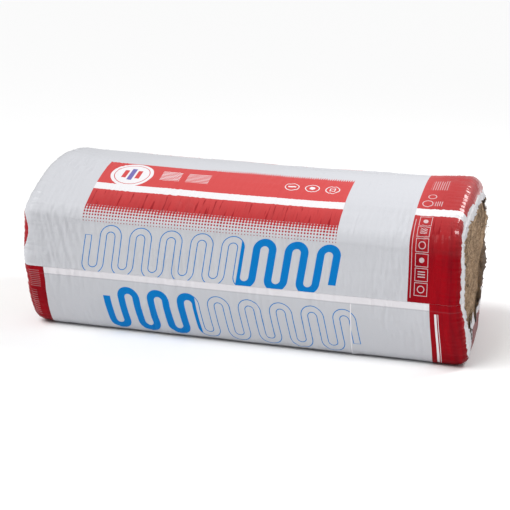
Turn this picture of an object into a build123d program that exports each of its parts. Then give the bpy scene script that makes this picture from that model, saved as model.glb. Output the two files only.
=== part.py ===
"""Shrink-wrapped pack of mineral wool slabs, lying on its side faces as it is sold.

A stack of equal slabs is squeezed flat and held by two webs of printed polyethylene film.
The lower web comes up both long sides and laps over the upper web, where the two are welded.
Past the ends of the stack the film shrinks in over the slab edges, and leaves an oval eye at
each end where the wool shows.

Frame: X runs along the pack, -Y is the side with the long weld seen first, +Z is up.
The origin is at the middle of the base. Sizes are in millimetres.
"""

import os
from math import atan, cos, degrees, pi, tan

from build123d import *

# The stack of slabs, as squeezed
slab_count = 9
slab_length = 1248.0
stack_width = 610.0
stack_height = 455.0
slab_edge_round = 9.0  # the soft edge along each cut end of a slab
foot_lift = 30.0  # how far the film turns up the long edges of the lowest slabs
crown_droop = 90.0  # how far it draws down the long edges of the top slabs
blank_excess = 40.0  # what the blanks stand out past the stack before it is shaped

# The cross-section that the tight film gives the stack
crown_rise = 134.0  # from the top of the upright sides to the top of the stack
shoulder_radius = 52.0  # where the upright sides turn into the crown
foot_rise = 195.0  # from the base to the bottom of the upright sides
foot_inset = 81.0  # how far the base stands in from the upright sides
foot_radius = 46.0  # the tight bend beside the base
rim_radius = 34.0  # round the edges of both ends

# The film
film_thickness = 0.12
seam_height = 182.0  # the lower web's cut edge above the base
seam_lap = 20.0  # how far the two webs overlap
weld_root = 3.0  # the strip below the lap that ties it to the rest of the lower web

# The oval eye at each end
eye_width = 470.0
eye_height = 355.0
eye_centre_height = 224.0

base_height = film_thickness  # the wool starts on top of the film


def oval_bend(long_axis, short_axis, tight_radius):
    """Two tangent arcs that make a quarter oval.

    Returns the turn of the tight arc in degrees, the broad arc's radius, and how far the
    broad arc's centre lies beyond the oval's centre.
    """
    reach = long_axis - tight_radius
    turn = pi / 2 - 2 * atan((short_axis - tight_radius) / reach)
    return degrees(turn), tight_radius + reach / cos(turn), reach * tan(turn)


def half_outline(grow):
    """Draws the +Y half of the stack's cross-section, moved outwards by grow."""
    half_width = stack_width / 2
    half_base = half_width - foot_inset
    side_bottom = base_height + foot_rise
    side_top = base_height + stack_height - crown_rise
    shoulder_turn, crown_radius, crown_drop = oval_bend(half_width, crown_rise, shoulder_radius)
    foot_turn, flank_radius, flank_offset = oval_bend(foot_rise, foot_inset, foot_radius)

    base = Line((0, base_height - grow), (half_base, base_height - grow))
    foot = CenterArc(
        (half_base, base_height + foot_radius), foot_radius + grow, -90, foot_turn
    )
    flank = CenterArc(
        (half_base - flank_offset, side_bottom),
        flank_radius + grow,
        foot_turn - 90,
        90 - foot_turn,
    )
    side = Line((half_width + grow, side_bottom), (half_width + grow, side_top))
    shoulder = CenterArc(
        (half_width - shoulder_radius, side_top), shoulder_radius + grow, 0, shoulder_turn
    )
    crown = CenterArc(
        (0, side_top - crown_drop), crown_radius + grow, shoulder_turn, 90 - shoulder_turn
    )
    return base, foot, flank, side, shoulder, crown


def envelope(grow):
    """The stack's outer form, with its rounded end rims, moved outwards by grow."""
    length = slab_length + 2 * grow
    with BuildPart() as form:
        with BuildSketch(Plane.YZ.offset(-length / 2)):
            with BuildLine():
                half_outline(grow)
                mirror(about=Plane.YZ)
            make_face()
        extrude(amount=length)
        fillet(form.faces().filter_by(Axis.X).edges(), radius=rim_radius + grow)
    return form.part


def layer_line(number):
    """The line under slab number, counted from 0 at the base, bowed as the film bends the slabs.

    The lowest line and the highest one lie outside the stack, whose own form then shapes the
    base and the crown.
    """
    share = number / slab_count
    over = stack_width / 2 + blank_excess
    past = blank_excess * ((number == slab_count) - (number == 0))
    middle = base_height + stack_height * share + past
    edge = base_height + foot_lift + (stack_height - foot_lift - crown_droop) * share + past
    return Bezier((-over, edge), (0, 2 * middle - edge), (over, edge))


def slab_blank(number):
    """One slab as a bent board with rounded end edges, before the film shapes its sides."""
    with BuildPart() as blank:
        with BuildSketch(Plane.YZ.offset(-slab_length / 2)):
            with BuildLine():
                lower = layer_line(number)
                upper = layer_line(number + 1)
                Line(lower @ 0, upper @ 0)
                Line(lower @ 1, upper @ 1)
            make_face()
        extrude(amount=slab_length)
        end_edges = blank.faces().filter_by(Axis.X).edges()
        fillet(end_edges - end_edges.filter_by(Axis.Z), radius=slab_edge_round)
    return blank.part


def export_piece(piece, name):
    """Labels a finished piece and writes its STEP file."""
    piece.label = name
    export_step(piece, f"parts/{name}.step")


os.makedirs("parts", exist_ok=True)

stack_form = envelope(0)
inner_skin = envelope(film_thickness)
outer_skin = envelope(2 * film_thickness)

# The slabs, from the bottom up
for number in range(slab_count):
    with BuildPart() as slab:
        add(slab_blank(number))
        add(stack_form, mode=Mode.INTERSECT)
    export_piece(slab.part, f"slab_{number + 1}")

# The eyes, as one oval bar right through the pack
with BuildPart() as eyes:
    with BuildSketch(Plane.YZ.offset(-slab_length)):
        with Locations((0, eye_centre_height)):
            Ellipse(eye_width / 2, eye_height / 2)
    extrude(amount=2 * slab_length)

lap_top = seam_height
lap_bottom = seam_height - seam_lap
block = (2 * slab_length, 2 * stack_width)
below = (Align.CENTER, Align.CENTER, Align.MAX)
above = (Align.CENTER, Align.CENTER, Align.MIN)

# The upper web lies on the wool, down to its hidden edge behind the lap
with BuildPart() as upper_film:
    add(inner_skin)
    add(stack_form, mode=Mode.SUBTRACT)
    with Locations((0, 0, lap_bottom)):
        Box(*block, 2 * stack_height, align=below, mode=Mode.SUBTRACT)
    add(eyes.part, mode=Mode.SUBTRACT)
export_piece(upper_film.part, "upper_film")

# The part of the lower web that lies on the wool, up to the upper web's edge
with BuildPart() as lower_sheet:
    add(inner_skin)
    add(stack_form, mode=Mode.SUBTRACT)
    with Locations((0, 0, lap_bottom)):
        Box(*block, 2 * stack_height, align=above, mode=Mode.SUBTRACT)

# The lap, which steps out over the upper web and is welded to it
with BuildPart() as lap:
    add(outer_skin)
    add(inner_skin, mode=Mode.SUBTRACT)
    with Locations((0, 0, lap_top)):
        Box(*block, 2 * stack_height, align=above, mode=Mode.SUBTRACT)
    with Locations((0, 0, lap_bottom - weld_root)):
        Box(*block, 2 * stack_height, align=below, mode=Mode.SUBTRACT)

with BuildPart() as lower_film:
    add(lower_sheet.part)
    add(lap.part)
    add(eyes.part, mode=Mode.SUBTRACT)
export_piece(lower_film.part, "lower_film")
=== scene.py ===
"""Film-wrapped pack of mineral wool slabs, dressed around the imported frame.

The stack of slabs is squeezed flat inside two printed webs of shrink film. Each web follows the
pressed form of the solids. It is wrinkled along its girth, gathered round both ends, and ends in
a loose edge round the eye where the frayed wool shows.

X runs along the pack, -Y is the front, +Z is up. Lengths are in metres. Girth is the distance
round the cross-section, counted upwards from the front edge of the base. Travel is the distance
along the film from the middle of the pack, and goes on over the rim and across the end.
"""

import logging
from dataclasses import dataclass
from enum import Enum
from math import atan, cos, pi, sin, tan

import bpy
import numpy as np
from mathutils import Matrix, Vector


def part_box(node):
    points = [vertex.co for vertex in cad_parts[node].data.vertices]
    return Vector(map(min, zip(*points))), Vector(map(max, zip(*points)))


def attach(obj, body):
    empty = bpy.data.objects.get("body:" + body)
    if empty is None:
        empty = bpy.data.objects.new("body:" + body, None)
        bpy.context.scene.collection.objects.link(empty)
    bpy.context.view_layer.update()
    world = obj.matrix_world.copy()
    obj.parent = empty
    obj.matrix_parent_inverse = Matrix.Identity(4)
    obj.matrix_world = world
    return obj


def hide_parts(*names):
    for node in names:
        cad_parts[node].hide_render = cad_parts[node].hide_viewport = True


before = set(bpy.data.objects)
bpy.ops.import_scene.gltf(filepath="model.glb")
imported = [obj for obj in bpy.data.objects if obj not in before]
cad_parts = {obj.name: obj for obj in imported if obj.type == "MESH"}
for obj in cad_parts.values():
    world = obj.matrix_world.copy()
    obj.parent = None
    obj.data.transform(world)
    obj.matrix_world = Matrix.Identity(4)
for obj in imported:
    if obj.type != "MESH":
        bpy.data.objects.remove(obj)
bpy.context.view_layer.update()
BODY = "root"
MM = 0.001
PRINT_MAP = "print_map"
TEAR_AT = 0.325  # the travel of the torn fold in the lower web

log = logging.getLogger("wool_pack")

Colour = tuple[float, float, float]
Triple = tuple[float, float, float]
Pair = tuple[float, float]
Span = tuple[float, float]  # where a smooth step starts and stops, or a hump's centre and spread


class End(Enum):
    """An end of the pack, as the sign of X."""

    LEFT = -1
    RIGHT = 1


def smooth(value: np.ndarray, low: float, high: float) -> np.ndarray:
    """Rises smoothly from 0 at low to 1 at high, which may be the lower of the two."""
    share = np.clip((value - low) / (high - low), 0, 1)
    return share * share * (3 - 2 * share)


def hump(value: np.ndarray, centre: float, spread: float) -> np.ndarray:
    """A bell of height 1 round centre."""
    return np.exp(-(((value - centre) / spread) ** 2))


class Unevenness:
    """Smooth chance relief over a surface, the same on every run."""

    CELLS = 256

    def __init__(self, seed: int) -> None:
        """Draws the slopes of a lattice.

        Args:
            seed: fixes the draw.
        """
        angles = np.random.default_rng(seed).uniform(0, 2 * pi, (self.CELLS, self.CELLS))
        self.across, self.along = np.cos(angles), np.sin(angles)

    def at(self, x: np.ndarray, y: np.ndarray) -> np.ndarray:
        """Reads the relief.

        Args:
            x: first coordinate, in cells.
            y: second coordinate, in cells.

        Returns:
            Heights from about -1 to 1.
        """
        x, y = np.broadcast_arrays(np.asarray(x, float), np.asarray(y, float))
        i, j = np.floor(x).astype(int), np.floor(y).astype(int)
        dx, dy = x - i, y - j

        def corner(a: int, b: int) -> np.ndarray:
            """What one corner of the cell adds."""
            at = (i + a) % self.CELLS, (j + b) % self.CELLS
            return self.across[at] * (dx - a) + self.along[at] * (dy - b)

        fx, fy = (d * d * d * (d * (6 * d - 15) + 10) for d in (dx, dy))
        low = corner(0, 0) * (1 - fx) + corner(1, 0) * fx
        high = corner(0, 1) * (1 - fx) + corner(1, 1) * fx
        return 1.5 * (low * (1 - fy) + high * fy)

    def layered(self, x: np.ndarray, y: np.ndarray, layers: int = 3) -> np.ndarray:
        """Adds finer and fainter relief to itself.

        Args:
            x: first coordinate, in cells of the coarsest layer.
            y: second coordinate, in cells of the coarsest layer.
            layers: how many layers there are, each half the size and height of the last.

        Returns:
            Heights from about -1.5 to 1.5.
        """
        shift = 17.3
        return sum(
            self.at(x * 2**k + shift * k, y * 2**k - shift * k) / 2**k for k in range(layers)
        )


@dataclass(frozen=True)
class PackForm:
    """The pressed form that the film gives the stack, taken from the solids."""

    crown_rise: float = 0.134
    shoulder_radius: float = 0.052
    foot_rise: float = 0.195
    foot_inset: float = 0.081
    foot_radius: float = 0.046
    rim_radius: float = 0.034
    sample: float = 0.001
    right_pull: float = 0.011
    right_foot: float = 0.024
    right_foot_zone: tuple[Span, Span] = ((0.28, -0.12), (0.21, 0.01))
    right_back_pull: float = 0.009
    right_shoulder_pull: float = 0.011
    right_shoulder_zone: tuple[Span, Span] = ((-0.24, 0.1), (0.37, 0.08))
    left_lean: float = 0.034
    left_heel: float = 0.007
    left_heel_zone: Span = (0.12, 0)
    left_heel_lift_zone: tuple[Span, Span] = ((-0.85, -1), (0.15, 0))
    left_flank: float = 0.011
    left_flank_zone: Span = (0.21, 0.13)
    left_lift: float = 0.007
    middle_sag: float = 0.006
    sag_from: float = 0.25
    end_sharpness: int = 5

    def __post_init__(self) -> None:
        """Measures the frame and lays out the cross-section once."""
        low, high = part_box("upper_film")
        keep = object.__setattr__
        keep(self, "half_length", (high[0] - low[0]) / 2)
        keep(self, "half_width", (high[1] - low[1]) / 2)
        keep(self, "height", high[2])
        keep(self, "lap_low", low[2])
        keep(self, "lap_high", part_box("lower_film")[1][2])
        keep(self, "section", self._section())

    @staticmethod
    def oval_bend(long_axis: float, short_axis: float, tight: float) -> tuple[float, float, float]:
        """Two tangent arcs that make a quarter oval.

        Args:
            long_axis: half the oval's long axis.
            short_axis: half its short axis.
            tight: the tight arc's radius.

        Returns:
            The tight arc's turn, the broad arc's radius, and how far the broad arc's centre lies
            beyond the oval's centre.
        """
        reach = long_axis - tight
        turn = pi / 2 - 2 * atan((short_axis - tight) / reach)
        return turn, tight + reach / cos(turn), reach * tan(turn)

    def _arc(self, y: float, z: float, radius: float, start: float, turn: float) -> np.ndarray:
        """Points and normals, as rows of y, z, ny, nz, along an arc."""
        angle = start + np.linspace(0, turn, max(3, int(radius * turn / self.sample)))
        along, up = np.cos(angle), np.sin(angle)
        return np.stack([y + radius * along, z + radius * up, along, up], axis=1)

    def _section(self) -> np.ndarray:
        """The whole cross-section as rows of girth, y, z, ny, nz, once round from the base."""
        half_base = self.half_width - self.foot_inset
        side_top = self.height - self.crown_rise
        shoulder_turn, crown_radius, crown_drop = self.oval_bend(
            self.half_width, self.crown_rise, self.shoulder_radius
        )
        foot_turn, flank_radius, flank_offset = self.oval_bend(
            self.foot_rise, self.foot_inset, self.foot_radius
        )
        base = np.array([[0, 0, 0, -1], [half_base, 0, 0, -1]], float)
        quarter, shoulder = pi / 2, self.shoulder_radius
        flank_turn = quarter - foot_turn
        arcs = (
            (half_base, self.foot_radius, self.foot_radius, -quarter, foot_turn),
            (half_base - flank_offset, self.foot_rise, flank_radius, foot_turn - quarter, flank_turn),
            (self.half_width - shoulder, side_top, shoulder, 0, shoulder_turn),
            (0, side_top - crown_drop, crown_radius, shoulder_turn, quarter - shoulder_turn),
        )
        half = np.concatenate([base, *(self._arc(*arc) for arc in arcs)])
        front = half * (-1, 1, -1, 1)
        whole = np.concatenate([front, half[::-1][1:]])
        steps = np.hypot(*np.diff(whole[:, :2], axis=0).T)
        girth = np.concatenate([[0], np.cumsum(steps)]) - half_base
        distinct = np.concatenate([[True], steps > 1e-7])
        return np.column_stack([girth, whole])[distinct]

    @property
    def girth_round(self) -> float:
        """The length once round the cross-section."""
        return float(self.section[-1, 0] - self.section[0, 0])

    @property
    def apex(self) -> float:
        """The girth at the top of the crown."""
        return self.section[0, 0] + self.girth_round / 2

    def at(self, girth: np.ndarray) -> tuple[np.ndarray, np.ndarray]:
        """Places points on the cross-section.

        Args:
            girth: distances round it, which may run past once round.

        Returns:
            Points and outward normals, each as y and z in the last axis.
        """
        wrapped = self.once_round(girth)
        y, z, ny, nz = (np.interp(wrapped, self.section[:, 0], c) for c in self.section[:, 1:].T)
        length = np.hypot(ny, nz)
        return np.stack([y, z], -1), np.stack([ny / length, nz / length], -1)

    def once_round(self, girth: np.ndarray) -> np.ndarray:
        """Brings girths that run past once round back into the first turn."""
        start = self.section[0, 0]
        return (np.asarray(girth) - start) % self.girth_round + start

    def girth_at(self, height: float) -> float:
        """The girth at a height on the front."""
        front = self.section[(self.section[:, 0] >= 0) & (self.section[:, 0] <= self.apex)]
        return float(np.interp(height, front[:, 2], front[:, 0]))

    def inner_bounds(self, y: np.ndarray, inset: float) -> tuple[np.ndarray, np.ndarray]:
        """The lowest and highest points of the section, moved inwards.

        Args:
            y: where to read it.
            inset: how far it is moved in.

        Returns:
            Heights of the lower and the upper curve.
        """
        points = self.section[:, 1:3] - inset * self.section[:, 3:5]
        back = points[self.section[:, 0] >= self.apex][::-1]
        turn = int(np.argmax(back[:, 0]))
        low = np.interp(np.abs(y), back[: turn + 1, 0], back[: turn + 1, 1])
        high = np.interp(np.abs(y), back[turn:, 0][::-1], back[turn:, 1][::-1])
        return low, high

    def nearest(self, y: np.ndarray, z: np.ndarray) -> tuple[np.ndarray, np.ndarray]:
        """Finds the outline's nearest point for points of the cross-section.

        Args:
            y: across the pack.
            z: height.

        Returns:
            How far inside the outline each point lies, and the girth there.
        """
        start = self.section[0, 0]
        outline = np.arange(start, start + self.girth_round, 3 * self.sample)
        edge = self.at(outline)[0]
        depth, girth = np.empty(y.size), np.empty(y.size)
        for part in np.array_split(np.arange(y.size), max(1, y.size // 2000)):
            side, up = edge[:, 0] - y.ravel()[part, None], edge[:, 1] - z.ravel()[part, None]
            squared = side**2 + up**2
            best = squared.argmin(1)
            depth[part] = np.sqrt(squared[np.arange(len(part)), best])
            girth[part] = outline[best]
        return depth.reshape(y.shape), girth.reshape(y.shape)

    def settle(self, points: np.ndarray) -> np.ndarray:
        """Leans the ends and sags the top, as the real pack does, in one way for every piece.

        Args:
            points: x, y, z in the last axis.

        Returns:
            The points in their settled places.
        """
        settled = np.array(points, float)
        x, y, z = np.moveaxis(points, -1, 0)
        share = np.clip(x / self.half_length, -1, 1)
        along_y, up_z = self.right_foot_zone
        right = self.right_foot * smooth(z, *up_z) * smooth(y, *along_y) - self.right_pull
        right = right - self.right_back_pull * smooth(y, 0, self.half_width)
        along_y, up_z = self.right_shoulder_zone
        right = right - self.right_shoulder_pull * hump(y, *along_y) * hump(z, *up_z)
        left = self.left_lean * (z - self.height / 2) + self.left_heel * smooth(z, *self.left_heel_zone)
        left = left + self.left_flank * smooth(z, *self.left_flank_zone)
        settled[..., 0] += np.where(share > 0, right, left) * np.abs(share) ** self.end_sharpness
        rise = self.left_lift * (1 - share) / 2 - self.middle_sag * (1 - share**2)
        settled[..., 2] += rise * smooth(z, self.sag_from, self.height)
        along_x, up_z = self.left_heel_lift_zone
        settled[..., 2] += self.left_heel * smooth(share, *along_x) * smooth(z, *up_z)
        return settled


@dataclass(frozen=True)
class Tuck:
    """A place where the film's end reaches further across the end of the pack."""

    girth: float
    reach: float
    spread: float
    flare: float = 0.0


@dataclass(frozen=True)
class Collar:
    """The film's gathered end, from the rim to its loose edge round the eye."""

    end: End
    tucks: tuple[Tuck, ...]
    seed: int
    least_reach: float = 0.007
    rag: float = 0.0055
    rag_length: float = 0.035
    hub_share: float = 0.6
    hub_half_width: float = 0.13
    hub_height: float = 0.225
    snug_at: float = 0.28
    snug_spread: float = 0.19
    snug: float = 0.0

    def looseness(self, girth: np.ndarray) -> np.ndarray:
        """How freely the film stands off the wool, less where it is drawn in snugly."""
        return 1 - self.snug * hump(girth, self.snug_at, self.snug_spread)

    def total(self, form: PackForm, girth: np.ndarray, value: str) -> np.ndarray:
        """Adds up one value of the tucks, by name, along the girth."""
        once = form.girth_round
        result = np.zeros_like(girth)
        for tuck in self.tucks:
            away = (girth - tuck.girth + once / 2) % once - once / 2
            result = result + getattr(tuck, value) * hump(away, 0, tuck.spread)
        return result

    def reach(self, form: PackForm, girth: np.ndarray) -> np.ndarray:
        """How far the film runs across the end, from where the rim's bend is over."""
        turn = 2 * pi * girth / form.girth_round
        cells = form.girth_round / (2 * pi * self.rag_length)
        ragged = Unevenness(self.seed).layered(cells * np.cos(turn), cells * np.sin(turn), 5)
        return self.least_reach + self.total(form, girth, "reach") + self.rag * ragged

    def edge_direction(self, rim: np.ndarray) -> np.ndarray:
        """The way that the film runs from points on the rim to the middle of the eye."""
        hub_y = np.clip(self.hub_share * rim[..., 0], -self.hub_half_width, self.hub_half_width)
        hub = np.stack([hub_y, np.full_like(hub_y, self.hub_height)], -1)
        way = hub - rim
        return way / np.linalg.norm(way, axis=-1, keepdims=True)


@dataclass(frozen=True)
class FilmRelief:
    """How the tight film stands off the pressed form, in metres outwards."""

    form: PackForm
    lumps: float = 2.2 * MM
    layers: float = 0.7 * MM
    pleats: float = 2.2 * MM
    drapes: float = 4.2 * MM
    shoulder: float = 1.1 * MM
    shoulder_at: Span = (0.362, 0.008)
    gathers: float = 2.4 * MM
    loose_gathers: float = 6.5 * MM
    lift: float = 1.0 * MM
    pleat_pitch: float = 10 * MM
    strong_by_shoulder: Span = (0.43, 0.045)
    strong_by_ends: Span = (0.44, 0.56)
    drape_pitch: float = 13.5 * MM
    drapes_at: Span = (-0.52, 0.085)
    crown_drape_pitch: float = 11 * MM
    crown_drapes_at: Span = (-0.46, 0.075)
    crown_drapes_off_apex: Span = (-0.12, 0.06)
    fold_mean: float = 0.3
    swell: float = 6 * MM
    tear_at: float = TEAR_AT
    tear_step: float = 0.9 * MM
    tear_groove: float = 0.8 * MM
    tear_notch: float = 3.0 * MM

    def broad(self, travel: np.ndarray, girth: np.ndarray) -> np.ndarray:
        """The lumps and layers of the wool, which both faces of the film follow."""
        lumps = self.lumps * Unevenness(3).layered(travel / 0.24, girth / 0.13, 2)
        layers = self.layers * Unevenness(4).at(travel / 0.5, girth / 0.024)
        relief = lumps + layers
        return np.where(relief < 0, 0.5 * relief, relief)

    def folds(self, seed: int, across: np.ndarray, along: np.ndarray, sharp: float) -> np.ndarray:
        """Long narrow folds, from 0 between them to about 1 on their backs.

        Args:
            seed: fixes the draw.
            across: the place across the folds, in half spacings.
            along: the place along them, in their lengths.
            sharp: how narrow their backs are.

        Returns:
            Their height.
        """
        return (1 - np.abs(Unevenness(seed).at(across, along))) ** sharp

    def mirrored(self, girth: np.ndarray) -> np.ndarray:
        """The girth as counted up the nearer side."""
        return self.form.apex - np.abs(girth - self.form.apex)

    def pleated(self, travel: np.ndarray, girth: np.ndarray) -> np.ndarray:
        """Fine pleats along the girth, in patches that grow strong by the shoulders and ends."""
        patches = np.clip(0.45 + Unevenness(5).layered(travel / 0.13, girth / 0.16, 2), 0.08, 1.1)
        wander = 0.005 * Unevenness(6).at(travel / 0.05, girth / 0.05)
        by_shoulder = hump(self.mirrored(girth), *self.strong_by_shoulder) * smooth(travel, -0.5, -0.3)
        by_ends = smooth(np.abs(travel), *self.strong_by_ends)
        patches = patches + 0.7 * by_shoulder + 0.8 * by_ends
        pleats = self.folds(7, (travel + wander) / self.pleat_pitch, girth / 0.13, 3)
        return self.pleats * patches * (pleats - self.fold_mean)

    def draped(self, travel: np.ndarray, girth: np.ndarray) -> np.ndarray:
        """The slanting drapes at the left end, under the shoulder and on the crown."""
        beside, off_apex = travel - self.drapes_at[0], girth - self.form.apex
        place = hump(travel, *self.drapes_at) * smooth(girth, 0.385, 0.355) * smooth(girth, 0.2, 0.24)
        slant = travel + (0.29 + 0.8 * beside) * (girth - 0.3)
        folds = self.folds(8, slant / self.drape_pitch, girth / 0.5, 2)
        result = place * (folds - self.fold_mean)
        place = hump(travel, *self.crown_drapes_at) * hump(off_apex, *self.crown_drapes_off_apex)
        slant = travel + 0.12 * off_apex
        folds = self.folds(9, slant / self.crown_drape_pitch, girth / 0.4, 2)
        return self.drapes * (result + 0.9 * place * (folds - self.fold_mean))

    def torn(self, travel: np.ndarray, girth: np.ndarray) -> np.ndarray:
        """The torn fold across the lower web, with its notch at the foot."""
        beside = travel - self.tear_at
        fold = self.tear_step * smooth(beside, -1 * MM, 1 * MM) * smooth(beside, 0.03, 0.001)
        groove = self.tear_groove * hump(beside, -1 * MM, 1.5 * MM)
        below_lap = smooth(girth, self.form.girth_at(self.form.lap_high), 0.16)
        notch = self.tear_notch * hump(beside, 2 * MM, 4 * MM) * hump(girth, 0.018, 0.016)
        return below_lap * (fold - groove) + notch

    def creases(self, travel: np.ndarray, girth: np.ndarray) -> np.ndarray:
        """What only the outer face shows: pleats, drapes, the shoulders' ridge and the torn fold."""
        form = self.form
        wander = 6 * MM * Unevenness(12).layered(travel / 0.12, 0 * travel, 3)
        ridge = self.shoulder * hump(self.mirrored(girth) - wander, *self.shoulder_at)
        swell = self.swell * hump(travel, form.half_length - 0.05, 0.06) * hump(girth, form.apex, 0.16)
        folds = self.pleated(travel, girth) + self.draped(travel, girth)
        return folds + ridge + swell + self.torn(travel, girth)

    def lap_pucker(self, travel: np.ndarray, girth: np.ndarray) -> np.ndarray:
        """The small waves that the weld draws into both webs, on the front and the back."""
        middle = self.form.girth_at((self.form.lap_low + self.form.lap_high) / 2)
        waves = Unevenness(10).layered(travel / 0.02, girth / 0.03, 2)
        front_and_back = hump(girth, middle, 0.014) + hump(girth, 2 * self.form.apex - middle, 0.014)
        return front_and_back * (0.5 * waves + 0.4) * MM

    def gather(self, collar: Collar, girth: np.ndarray, nearness: np.ndarray) -> np.ndarray:
        """Pleats across the rim, from 0 on the sides to 1 at the loose edge."""
        unevenness = Unevenness(collar.seed + 50)
        wander = 0.003 * unevenness.at(girth / 0.03, 3 * nearness)
        coarse = 1 - np.abs(unevenness.at((girth + wander) / 0.015, nearness * 1.5 + 5))
        fine = 1 - np.abs(unevenness.at((girth + wander) / 0.007, nearness * 2 + 40))
        size = self.gathers * smooth(nearness, 0, 0.35)
        size = size + self.loose_gathers * collar.looseness(girth) * smooth(nearness, 0.45, 1)
        return size * (0.65 * coarse**3 + 0.35 * fine**2)

    def along(self, travel: np.ndarray, girth: np.ndarray, outer: bool) -> np.ndarray:
        """All the relief of the sides, on the outer face with its creases."""
        relief = self.broad(travel, girth) + self.lap_pucker(travel, girth)
        return relief + self.creases(travel, girth) if outer else relief


def into_scene(name: str, data: bpy.types.ID, turn: Matrix | None = None) -> bpy.types.Object:
    """Links a new object with this data to the scene, at the origin unless it has a turn."""
    made = bpy.data.objects.new(name, data)
    if turn is not None:
        made.matrix_world = turn
    bpy.context.scene.collection.objects.link(made)
    return made


def solid_from(
    name: str, points: np.ndarray, faces: list, finishes: list[bpy.types.Material]
) -> bpy.types.Object:
    """Makes a shaded object at the origin from points and faces.

    Args:
        name: the piece's name.
        points: one row of x, y, z for each point.
        faces: lists of point numbers, in the order that points the face outwards.
        finishes: the piece's materials.

    Returns:
        The object, linked to the scene.
    """
    mesh = bpy.data.meshes.new(name)
    mesh.from_pydata(points.tolist(), [], faces)
    mesh.validate()
    mesh.shade_smooth()
    for finish in finishes:
        mesh.materials.append(finish)
    return into_scene(name, mesh)


def grid_faces(numbers: np.ndarray) -> list[list[int]]:
    """Quads over a grid of point numbers, rows by columns."""
    corners = numbers[:-1, :-1], numbers[1:, :-1], numbers[1:, 1:], numbers[:-1, 1:]
    return np.stack([c.ravel() for c in corners], axis=1).tolist()


def hand_over(piece: bpy.types.Object, slot: str, *nodes: str) -> None:
    """Rides a finished piece on the pack, hides the parts that it stands for, and logs it."""
    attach(piece, BODY)
    if nodes:
        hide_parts(*nodes)
    triangles = sum(len(face.vertices) - 2 for face in piece.data.polygons)
    log.info("%s: %d triangles", piece.name, triangles)


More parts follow.
